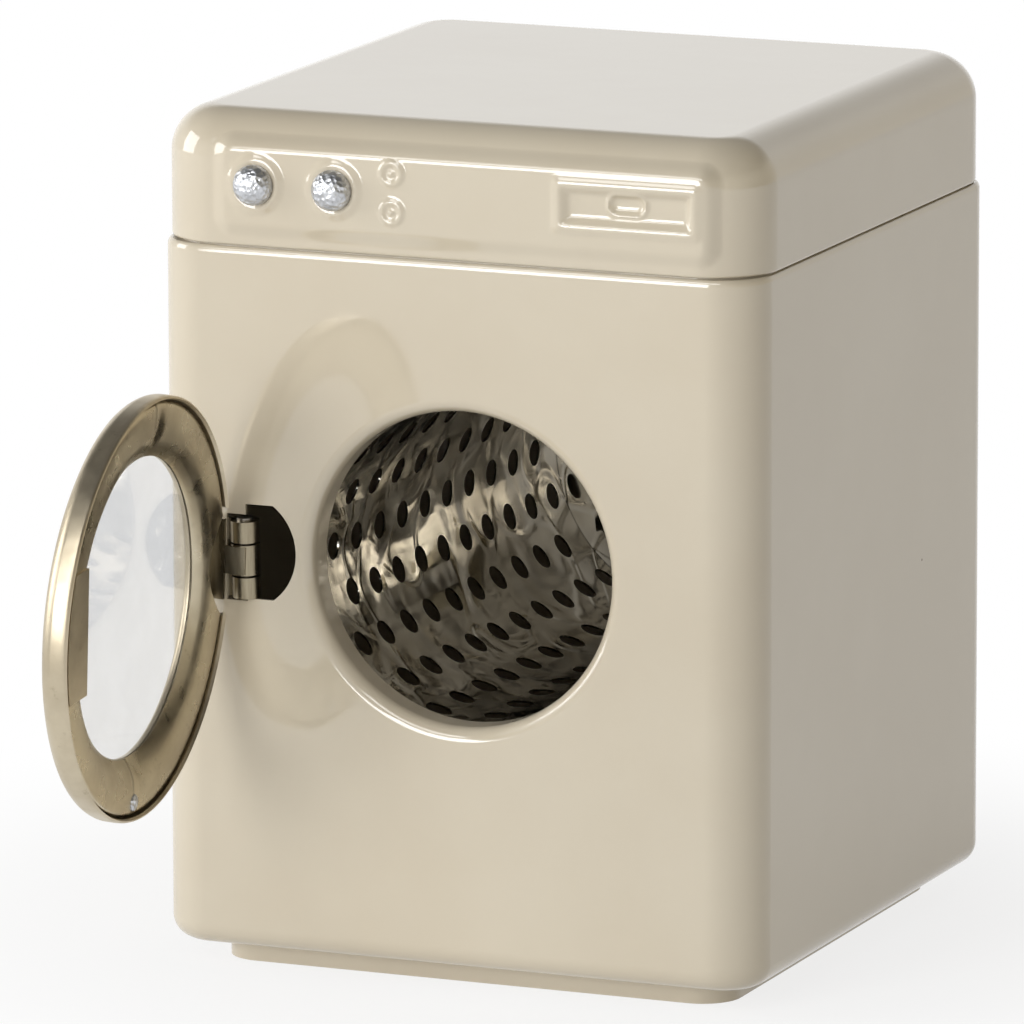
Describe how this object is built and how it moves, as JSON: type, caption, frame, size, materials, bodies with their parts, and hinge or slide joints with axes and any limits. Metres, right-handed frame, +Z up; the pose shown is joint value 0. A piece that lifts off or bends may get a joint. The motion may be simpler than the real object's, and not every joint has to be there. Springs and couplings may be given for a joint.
{
  "type": "toy washing machine",
  "caption": "Doll-scale front-loading washing machine in enamelled sheet steel, with a round swing door, a turning perforated drum and a lift-off lid with a pressed control panel.",
  "frame": {"origin": "middle of the plinth's underside, on the surface that the machine stands on", "axes": "+Z up, -Y towards the viewer of the front, +X to that viewer's right"},
  "size_m": [0.096, 0.1653, 0.13],
  "materials": {
    "enamel": "glossy cream enamel",
    "plated": "warm satin nickel plating",
    "drum_steel": "bright plated sheet",
    "steel": "plain steel",
    "aluminium": "hammered domes",
    "solder": "solder tack",
    "brass": "turned",
    "clear": "clear plastic"
  },
  "bodies": {
    "cabinet_body": {"cabinet": "enamel", "back_panel": "enamel", "base_pan": "enamel", "neck_band": "enamel", "hinge_bracket": "enamel", "hinge_pin": "steel", "drum_axle": "steel", "axle_washer": "steel", "axle_plate": "steel"},
    "door": {"door_hinge_leaf": "plated", "door_shell": "plated", "door_liner_free": "plated", "door_liner_hinge": "plated", "liner_solder": "solder", "door_window": "clear", "catch_plate": "plated"},
    "drum": {"drum_shell": "drum_steel", "drum_back": "drum_steel", "drum_bush": "brass"},
    "lid_body": {"lid": "enamel", "dial_rivet_left": "aluminium", "dial_rivet_right": "aluminium", "dial_washer_left": "steel", "dial_washer_right": "steel"}
  },
  "joints": [
    {"name": "door_swing", "type": "hinge", "parent": "cabinet_body", "child": "door", "pos_m": [-0.0332, -0.04925, 0.0631], "axis": [0, -0.0541, 0.9985], "range_deg": [-7, 88]},
    {"name": "drum_spin", "type": "hinge", "parent": "cabinet_body", "child": "drum", "pos_m": [0.0014, 0, 0.0638], "axis": [0, 1, 0], "continuous": true},
    {"name": "lid_lift", "type": "slide", "parent": "cabinet_body", "child": "lid_body", "axis": [0, 0, 1], "range_m": [0, 0.03]}
  ]
}
